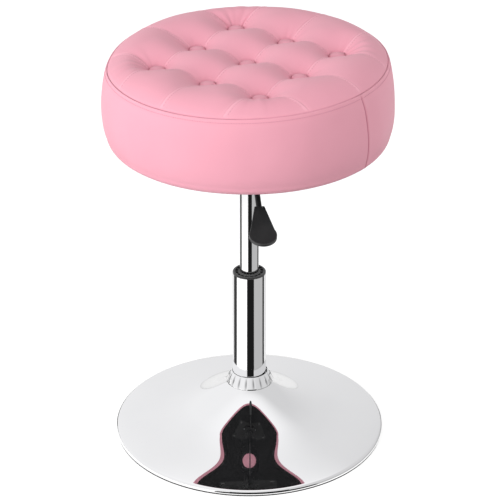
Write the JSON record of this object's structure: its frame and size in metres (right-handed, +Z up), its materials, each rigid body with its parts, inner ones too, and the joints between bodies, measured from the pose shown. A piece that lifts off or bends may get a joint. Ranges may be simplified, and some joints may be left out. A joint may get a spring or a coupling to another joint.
{
  "type": "vanity stool",
  "caption": "Round button-tufted leatherette vanity stool on a swivelling chrome gas-lift column with a release lever and a trumpet base.",
  "frame": {"origin": "on the floor, on the axis of the column", "axes": "+Z up along the column, -Y to the front, where the release lever points"},
  "size_m": [0.4102, 0.4102, 0.611],
  "materials": {
    "leatherette": "satin",
    "chrome": "polished",
    "black_plastic": "satin",
    "black_rubber": "matte",
    "black_steel": "satin",
    "zinc_steel": "satin",
    "bare_steel": "satin",
    "brass": "satin",
    "aluminium": "satin",
    "plywood": "matte",
    "foam": "matte",
    "dust_cloth": "matte",
    "twine": "matte",
    "toggle_plastic": "satin"
  },
  "bodies": {
    "base": {"floor_ring": "black_rubber", "base_shell": "chrome", "base_plate": "bare_steel", "base_socket": "bare_steel", "base_ring": "chrome", "column_tube": "chrome", "column_end_plate": "bare_steel", "guide_bush": "black_plastic", "bearing_lower_washer": "bare_steel"},
    "ball_bearing": {"bearing_cage": "brass", "bearing_balls": "bare_steel"},
    "piston_rod": {"piston_rod": "bare_steel", "piston": "aluminium", "piston_seal": "black_rubber", "piston_nut": "bare_steel", "bearing_upper_washer": "bare_steel", "buffer": "black_rubber", "clip_washer": "zinc_steel", "retaining_clip": "zinc_steel"},
    "seat": {"gas_cylinder": "chrome", "rod_gland": "bare_steel", "valve_body": "aluminium", "seat_plate": "black_steel", "taper_socket": "black_steel", "lever_pivot_pin": "zinc_steel", "pivot_clip": "zinc_steel", "plate_bolts": "zinc_steel", "bolt_washers": "zinc_steel", "t_nuts": "zinc_steel", "seat_board": "plywood", "seat_foam": "foam", "cover_top": "leatherette", "cover_band": "leatherette", "buttons": "leatherette", "button_ties": "twine", "tie_toggles": "toggle_plastic", "dust_cover": "dust_cloth", "staples": "zinc_steel"},
    "lever": {"lever_rod": "black_steel", "lever_paddle": "black_plastic"},
    "release_pin": {"release_pin": "bare_steel"}
  },
  "joints": [
    {"name": "seat_swivel", "type": "hinge", "parent": "base", "child": "piston_rod", "pos_m": [0, 0, 0.02], "axis": [0, 0, 1], "continuous": true},
    {"name": "bearing_cage_spin", "type": "hinge", "parent": "base", "child": "ball_bearing", "pos_m": [0, 0, 0.02], "axis": [0, 0, 1], "continuous": true},
    {"name": "seat_lift", "type": "slide", "parent": "piston_rod", "child": "seat", "axis": [0, 0, 1], "range_m": [-0.14, 0]},
    {"name": "lever_lift", "type": "hinge", "parent": "seat", "child": "lever", "pos_m": [0.00288, -0.02986, 0.44242], "axis": [-0.9954, -0.0958, 0], "range_deg": [0, 8], "stiffness_Nm_per_rad": 3, "springref_deg": -6.88},
    {"name": "release_pin_press", "type": "slide", "parent": "seat", "child": "release_pin", "axis": [0, 0, -1], "range_m": [0, 0.0042]}
  ],
  "couplings": [
    {"joint": "bearing_cage_spin", "follows": "seat_swivel", "ratio": 0.5},
    {"joint": "release_pin_press", "follows": "lever_lift", "m_per_rad": 0.0296}
  ]
}
